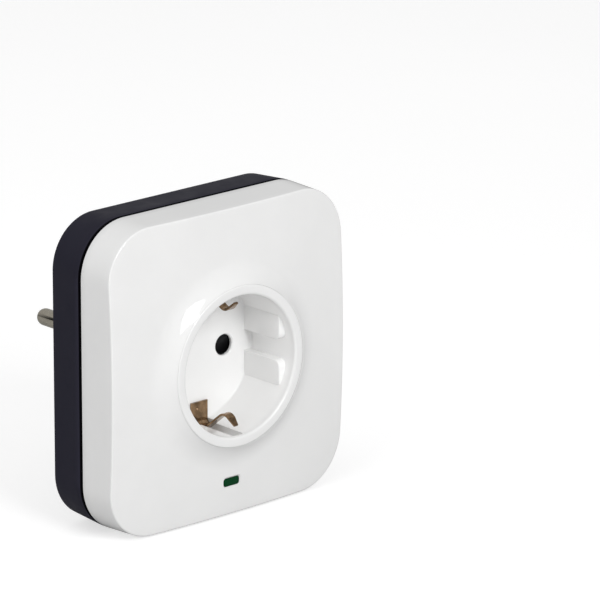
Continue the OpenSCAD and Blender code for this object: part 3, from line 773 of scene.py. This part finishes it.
def bent_strip(name, points, width, thickness, radius, plane="YZ", soft=0.1 * MM, taper=0.0):
    """A flat strip bent along a path. It is width wide across the plane of the path.

    soft is the chamfer of its edges, and taper the length over which its far end narrows.
    """
    path = rounded_path(points, radius)
    sides = []
    for i, p in enumerate(path):
        ahead = path[min(i + 1, len(path) - 1)] - p
        behind = p - path[max(i - 1, 0)]
        heading = Vector((0, 0))
        # at each end of the path one of the two steps has no length
        for step in (ahead, behind):
            if step.length > 1e-9:
                heading += step.normalized()
        heading.normalize()
        sides.append(Vector((-heading.y, heading.x)) * thickness / 2)
    length = [0.0]
    for a, b in zip(path, path[1:]):
        length.append(length[-1] + (b - a).length)
    tip_share = 0.55
    rings = []
    for p, side, run in zip(path, sides, length):
        half = width / 2
        left = length[-1] - run
        if taper and left < taper:
            rounding = math.sqrt(max(0.0, 1 - (1 - left / taper) ** 2))
            half *= tip_share + (1 - tip_share) * rounding
        ring = []
        for sx, sn, dx, dn in strip_section(soft):
            q = p + side * sn * (1 - dn / (thickness / 2))
            x = sx * (half - dx)
            ring.append(Vector((x, q.x, q.y)) if plane == "YZ" else Vector((q.x, q.y, x)))
        rings.append(ring)
    return lofted(name, rings)


def mirrored(points, side):
    return [(y, side * z) for y, z in points]


def make_earth_parts():
    """The strap with its two plates, and the two tongues."""
    y_plate = Y_FLOOR - 0.1 * MM - STRIP_T / 2
    back = [(y_plate - 0.7 * MM, LEG_Z), (Y_STRAP, LEG_Z)]
    bridge = bent_strip("earth_strap", mirrored(back, -1) + mirrored(back[::-1], 1),
                        PLATE_W - 0.1 * MM, STRIP_T - 0.04 * MM, 0.9 * MM)
    plate = [(y_plate, PLATE_Z), (y_plate, LEG_Z), (Y_ROOT, LEG_Z)]
    cut(bridge, [bent_strip("plate", mirrored(plate, side), PLATE_W, STRIP_T, 1.3 * MM)
                 for side in (-1, 1)], "UNION")
    dimple_r, bottom_r, dimple_depth = 0.42 * MM, 0.2 * MM, 0.14 * MM
    dimple = [(dimple_r, Y_FLOOR - 1.2 * MM), (dimple_r, y_plate - dimple_depth), (bottom_r, y_plate)]
    cut(bridge, [turned("dimple", dimple, 24, (-1 * MM, side * 15.6 * MM)) for side in (-1, 1)])
    finished(bridge, BRONZE, stands_for=["earth_bridge"])

    tongue = [(Y_ROOT - 0.1 * MM, LEG_Z), (Y_ROOT - 0.8 * MM, LEG_Z), (Y_HUMP, HUMP_Z), (Y_TIP, TIP_Z)]
    for side, body, node in ((1, "top_earth_clip", "earth_clip_top"),
                             (-1, "bottom_earth_clip", "earth_clip_bottom")):
        clip = bent_strip(node + "_spring", mirrored(tongue, side), TONGUE_W, STRIP_T, 2.6 * MM,
                          taper=0.8 * MM)
        finished(clip, BRONZE, body, [node])


def make_spring():
    """The shutter's spring, which the slide presses short: a fine round wire, drawn here at one
    length.
    """
    seat_low, seat_high, seat_gap = 3.4 * MM, 15.6 * MM, 0.3 * MM
    low, high = seat_low + seat_gap, seat_high - seat_gap
    middle_y = Y_FLOOR_BACK + 1.45 * MM
    turns, steps, sides = 6, 28, 10
    coil, wire = 1.05 * MM, 0.19 * MM
    section = [2 * math.pi * k / sides for k in range(sides)]
    rings = []
    for i in range(turns * steps + 1):
        a = 2 * math.pi * i / steps
        z = low + (high - low) * i / (turns * steps)
        rings.append([Vector(((coil + wire * math.cos(b)) * math.cos(a),
                              middle_y + (coil + wire * math.cos(b)) * math.sin(a),
                              z + wire * math.sin(b))) for b in section])
    spring = finished(lofted("spring_wire", rings), STEEL, stands_for=["shutter_spring"])
    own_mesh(spring)


# ------------------------------------------------------------------ jacks
def contact_heights(middle_z):
    """Heights of a jack's contact wires."""
    return [middle_z + (i - (CONTACTS - 1) / 2) * CONTACT_PITCH for i in range(CONTACTS)]


def make_jack(node, middle_z):
    """A jack housing: the port, two steps for the latch, and the comb between the wires."""
    low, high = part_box(node)
    shell = box_mesh(node + "_housing", low, high)
    x0 = JACK_X - PORT_DEPTH
    y_latch, y_port_end = PORT_Y + 1 * MM, PORT_Y + PORT_D
    openings = [(PORT_Y, y_port_end, PORT_W / 2),
                (y_latch, y_port_end + 2 * MM, 3.1 * MM),
                (y_latch, y_port_end + 3.5 * MM, 1.9 * MM)]
    cutters = [box_mesh("port", (x0, y0, middle_z - half), (JACK_X + 1 * MM, y1, middle_z + half))
               for y0, y1, half in openings]
    comb_half = 0.3 * MM
    for z in contact_heights(middle_z):
        cutters.append(box_mesh("comb", (x0 + 0.1 * MM, PORT_Y - 1 * MM, z - comb_half),
                                (JACK_X - 2.4 * MM, PORT_Y + 0.5 * MM, z + comb_half)))
    cut(shell, cutters)
    bevel(shell, width=0.14 * MM, segments=2, angle=50)
    finished(shell, BLACK, stands_for=[node])


def make_wires(node, body, middle_z):
    """Eight bent contact wires, joined into one piece."""
    root_x, tip_x = JACK_X - 3.2 * MM, JACK_X - 12.2 * MM
    wire_t = 0.35 * MM
    path = [(root_x + 0.2 * MM, PORT_Y - 0.6 * MM), (root_x - 1 * MM, PORT_Y - 0.5 * MM),
            (tip_x, PORT_Y + 2 * MM)]
    joined = bmesh.new()
    for z in contact_heights(middle_z):
        wire = bent_strip("wire", path, wire_t, wire_t, 0.8 * MM, plane="XY", soft=0.08 * MM)
        wire.data.transform(Matrix.Translation((0, 0, z)))
        joined.from_mesh(wire.data)
        bpy.data.objects.remove(wire)
    finished(to_object(node + "_wires", joined), GOLD, body, [node])


# ------------------------------------------------------------------ small parts
def make_lens():
    """A softly crowned window, a little behind the face."""
    front = dome(0, LENS_Z) + 0.12 * MM
    smallest_r = 0.12 * MM
    # (inset, depth) of each ring in millimetres, from the crown's middle outwards
    profile = ((0.7, -0.06), (0.35, -0.03), (0.16, 0.0), (0.06, 0.06), (0.0, 0.18), (0.0, 2.1))
    rings = []
    for inset, depth in profile:
        inset *= MM
        points = rounded_points(LENS_W / 2 - inset, LENS_H / 2 - inset,
                                max(smallest_r, LENS_R - inset), side_steps=4, arc_steps=8)
        rings.append([Vector((p.x, front + depth * MM, LENS_Z + p.y)) for p, _ in points])
    finished(lofted("green_window", rings), GREEN, stands_for=["status_lens"])


def make_pins():
    """Turned pins with a collar inside the boss and two grooves along the shank.

    The grooves are wider, deeper and turned a little further than in CAD, so that they show.
    """
    neck_r, collar_r = 1.8 * MM, 3.6 * MM
    collar_back, collar_front = -4.2 * MM, -2.3 * MM
    groove_half, groove_depth, groove_start = 0.38 * MM, 0.9 * MM, 1.5 * MM
    past = 1 * MM
    for side, node in ((1, "live_pin"), (-1, "neutral_pin")):
        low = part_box(node)[0].y
        profile = [(neck_r, low), (neck_r, collar_back), (collar_r, collar_back),
                   (collar_r, collar_front), (neck_r, collar_front), (neck_r, 0),
                   (PIN_R, 0), (PIN_R, PIN_LENGTH - PIN_R)]
        profile += arc((0, PIN_LENGTH - PIN_R), PIN_R, 0, 84, 10)
        pin = turned(node + "_turned", profile, 64, (side * PIN_X, 0))
        grooves = []
        for turn in (25, 205):
            groove = box_mesh("groove", (PIN_R - groove_depth, groove_start, -groove_half),
                              (PIN_R + past, PIN_LENGTH + past, groove_half))
            groove.data.transform(Matrix.Rotation(math.radians(turn), 4, "Y"))
            groove.data.transform(Matrix.Translation((side * PIN_X, 0, 0)))
            grooves.append(groove)
        cut(pin, grooves)
        finished(pin, NICKEL, stands_for=[node])


# ------------------------------------------------------------------ printing
def side_x(y, z):
    """Where the flat of the right-hand side lies."""
    if y < Y_SEAM:
        start = dome(HALF_W - FRONT_DRAFT - FRONT_EDGE_R, z) + FRONT_EDGE_R
        share = (y - start) / (Y_FRONT_EDGE - SEAM_EDGE_R - start)
        return HALF_W - FRONT_DRAFT * (1 - min(1.0, share))
    share = (y - Y_REAR_EDGE) / (Y_BACK - REAR_EDGE_R - Y_REAR_EDGE)
    return HALF_W - REAR_DRAFT * share


def printed(name, outlines):
    """Thin raised print on the right-hand side. Each outline is a closed list of (y, z)."""
    bm = bmesh.new()
    root, ink = 0.02 * MM, 0.03 * MM
    for outline in outlines:
        top = [bm.verts.new((side_x(y, z) + ink, y, z)) for y, z in outline]
        bottom = [bm.verts.new((side_x(y, z) - root, y, z)) for y, z in outline]
        n = len(outline) // 2
        for i in range(n - 1):
            bm.faces.new((top[i], top[i + 1], top[-i - 2], top[-i - 1]))
            bm.faces.new((bottom[i], bottom[i + 1], bottom[-i - 2], bottom[-i - 1]))
        for i in range(len(outline)):
            j = (i + 1) % len(outline)
            bm.faces.new((top[i], top[j], bottom[j], bottom[i]))
    finished(to_object(name, bm), PRINT)


def ribbon(path, width):
    """Closed outline of a line of that width along a path."""
    left, right = [], []
    for i, p in enumerate(path):
        a, b = Vector(path[max(i - 1, 0)]), Vector(path[min(i + 1, len(path) - 1)])
        heading = (b - a).normalized()
        side = Vector((-heading.y, heading.x)) * width / 2
        left.append(tuple(Vector(p) + side))
        right.append(tuple(Vector(p) - side))
    return left + right[::-1]


def make_print():
    """The outline round the jacks, open at the seam, with two arrows and a dash in front."""
    reach, half_z, corner, width = 9.3 * MM, 26.5 * MM, 4.5 * MM, 1.1 * MM
    gap = 2 * MM
    dash_half, arrow_z = 2.4 * MM, 7.6 * MM
    front_stop, rear_stop = 15.2 * MM, 0.9 * MM
    flat_steps = 6
    lines = {-1: [], 1: []}
    turn = arc((reach - corner, half_z - corner), corner, 90, 0, 8)
    for side, stop in ((-1, front_stop), (1, rear_stop)):
        for half in (-1, 1):
            path = [(gap, half_z)] + turn
            path += [(reach, half_z - corner + (stop - half_z + corner) * k / flat_steps)
                     for k in range(1, flat_steps + 1)]
            lines[side].append(ribbon([(Y_SEAM + side * y, half * z) for y, z in path], width))
    y = Y_SEAM - reach
    lines[-1].append(ribbon([(y, -dash_half), (y, dash_half)], width))
    # each arrow is a triangle with a very short tip edge
    arrow_w, arrow_h, tip_half = 2.4 * MM, 3 * MM, 0.05 * MM
    for middle, way in ((arrow_z, 1), (-arrow_z, -1)):
        tip, base = y + way * arrow_w / 2, y - way * arrow_w / 2
        lines[-1].append([(base, middle - arrow_h / 2), (tip, middle - tip_half),
                          (tip, middle + tip_half), (base, middle + arrow_h / 2)])
    printed("print_front", lines[-1])
    printed("print_rear", lines[1])


# ------------------------------------------------------------------ build
make_front_cover()
make_rear_cover()
make_socket_well()
make_earth_parts()
make_spring()
make_jack("jack_in", JACK_H / 2)
make_jack("jack_out", -JACK_H / 2)
make_wires("jack_in_contacts", "jack_in_springs", JACK_H / 2)
make_wires("jack_out_contacts", "jack_out_springs", -JACK_H / 2)
make_lens()
make_pins()
make_print()


# ------------------------------------------------------------------ stage
def softbox(name, bearing, distance, size, share):
    """A square soft light. share is what it adds to a white card that faces it."""
    target = Vector((0, Y_SEAM, 0))
    data = bpy.data.lights.new(name, "AREA")
    data.shape = "SQUARE"
    data.size = size
    data.energy = share * math.pi ** 2 * distance ** 2
    lamp = bpy.data.objects.new(name, data)
    lamp.location = target + Vector(bearing).normalized() * distance
    lamp.rotation_euler = (target - lamp.location).to_track_quat("-Z", "Y").to_euler()
    bpy.context.scene.collection.objects.link(lamp)


# Shares of light, as softbox takes them, and the strength of the white sky
KEY_SHARE, FILL_SHARE, TOP_SHARE = 0.49, 0.19, 0.12
SKY = 0.455
FLOOR_SIZE = 6.0
FLOOR_ALBEDO, FLOOR_GLOW = 0.5, 0.62


def make_stage():
    """Pale floor, white sky and three soft lights."""
    bm = bmesh.new()
    bmesh.ops.create_grid(bm, x_segments=8, y_segments=8, size=FLOOR_SIZE)
    floor = to_object("floor", bm)
    floor.location = (0, 0, -HALF_H - 0.05 * MM)
    material, add, link, principled = shader("floor_paint")
    pale = (FLOOR_ALBEDO, FLOOR_ALBEDO, FLOOR_ALBEDO)
    clouds = noise(add, coordinates(add), 3)
    link(tinted(add, clouds, scaled(pale, 0.98), scaled(pale, 1.02)), "Base Color")
    principled.inputs["Roughness"].default_value = 0.7
    principled.inputs["Emission Color"].default_value = (1, 1, 1, 1)
    principled.inputs["Emission Strength"].default_value = FLOOR_GLOW
    floor.data.materials.append(material)
    # the floor's own glow keeps it pale, and lights nothing else
    own = bpy.data.collections.new("lit_by_floor")
    own.objects.link(floor)
    floor.light_linking.receiver_collection = own

    world = bpy.data.worlds.new("studio")
    world.use_nodes = True
    background = world.node_tree.nodes["Background"]
    background.inputs["Color"].default_value = (1, 1, 1, 1)
    background.inputs["Strength"].default_value = SKY
    bpy.context.scene.world = world
    softbox("key", (-0.12, -0.86, 0.5), distance=1.0, size=0.42, share=KEY_SHARE)
    softbox("fill", (-0.95, -0.2, 0.2), distance=0.9, size=0.5, share=FILL_SHARE)
    softbox("top", (-0.4, 0.1, 0.9), distance=0.9, size=0.8, share=TOP_SHARE)
    bpy.context.scene.view_settings.view_transform = "Standard"


def make_camera():
    """Long lens, from the front left and a little above."""
    azimuth, elevation, roll = math.radians(-42.64), math.radians(16.79), math.radians(0.107)
    distance, lens = 1.4244, 319.8
    target = Vector((0.0161, -0.0588, 0.0165))
    back = Vector((math.sin(azimuth) * math.cos(elevation),
                   -math.cos(azimuth) * math.cos(elevation), math.sin(elevation)))
    data = bpy.data.cameras.new("camera")
    data.lens = lens
    data.clip_start, data.clip_end = 0.01, 50
    camera = bpy.data.objects.new("camera", data)
    camera.rotation_mode = "QUATERNION"
    camera.location = target + back * distance
    aim = (-back).to_track_quat("-Z", "Y")
    camera.rotation_quaternion = aim @ Matrix.Rotation(roll, 3, "Z").to_quaternion()
    bpy.context.scene.collection.objects.link(camera)
    bpy.context.scene.camera = camera


make_stage()
make_camera()
